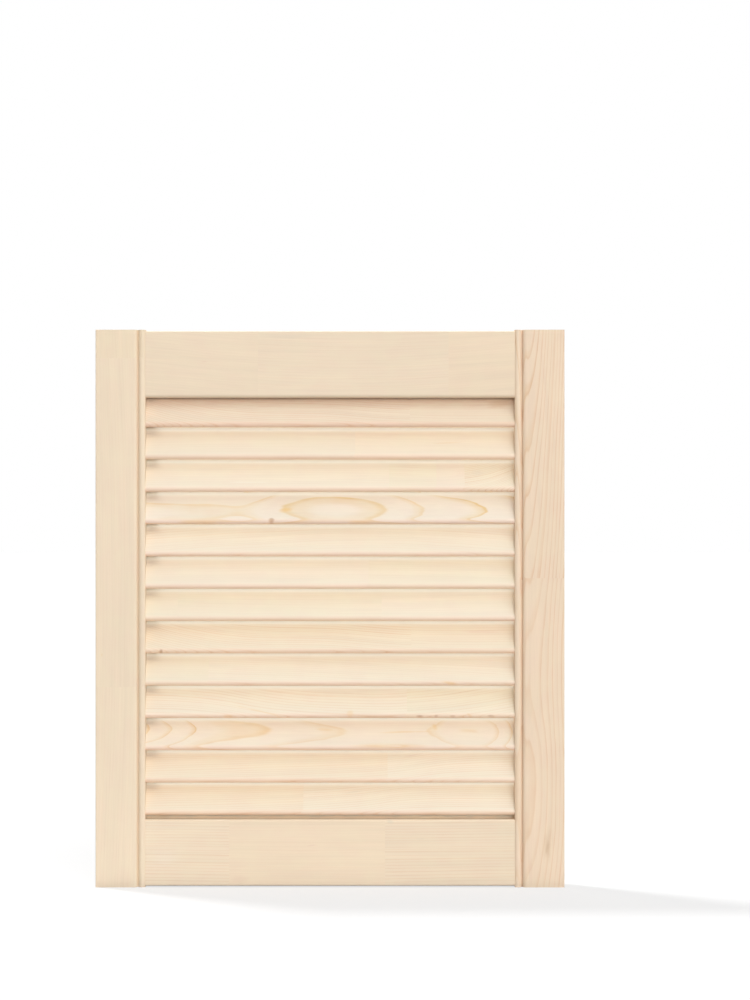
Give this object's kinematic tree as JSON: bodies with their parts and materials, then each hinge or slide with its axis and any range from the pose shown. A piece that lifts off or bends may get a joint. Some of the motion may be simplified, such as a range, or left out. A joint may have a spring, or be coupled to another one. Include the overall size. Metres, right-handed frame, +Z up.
{
  "type": "louvred door",
  "caption": "Small louvred cupboard door of bare pine: beaded stiles and plain rails round a field of fixed, slanted slats.",
  "frame": {"origin": "centre of the flat outer edge face of the hinge stile, the left one seen from the front", "axes": "+X across the door from the hinge stile to the handle stile, -Y towards the front, +Z up along the stiles"},
  "size_m": [0.344, 0.02, 0.409],
  "materials": {
    "stile_pine": "planed and sanded pine, unfinished",
    "rail_pine": "planed and sanded pine, finger-jointed, unfinished",
    "slat_pine": "planed and sanded pine, unfinished",
    "dowel_beech": "turned beech, hidden"
  },
  "bodies": {
    "root": {"left_stile": "stile_pine", "right_stile": "stile_pine", "top_rail": "rail_pine", "bottom_rail": "rail_pine", "slat_01": "slat_pine", "slat_02": "slat_pine", "slat_03": "slat_pine", "slat_04": "slat_pine", "slat_05": "slat_pine", "slat_06": "slat_pine", "slat_07": "slat_pine", "slat_08": "slat_pine", "slat_09": "slat_pine", "slat_10": "slat_pine", "slat_11": "slat_pine", "slat_12": "slat_pine", "slat_13": "slat_pine", "dowel_top_left_upper": "dowel_beech", "dowel_top_left_lower": "dowel_beech", "dowel_top_right_upper": "dowel_beech", "dowel_top_right_lower": "dowel_beech", "dowel_bottom_left_upper": "dowel_beech", "dowel_bottom_left_lower": "dowel_beech", "dowel_bottom_right_upper": "dowel_beech", "dowel_bottom_right_lower": "dowel_beech"}
  },
  "joints": []
}
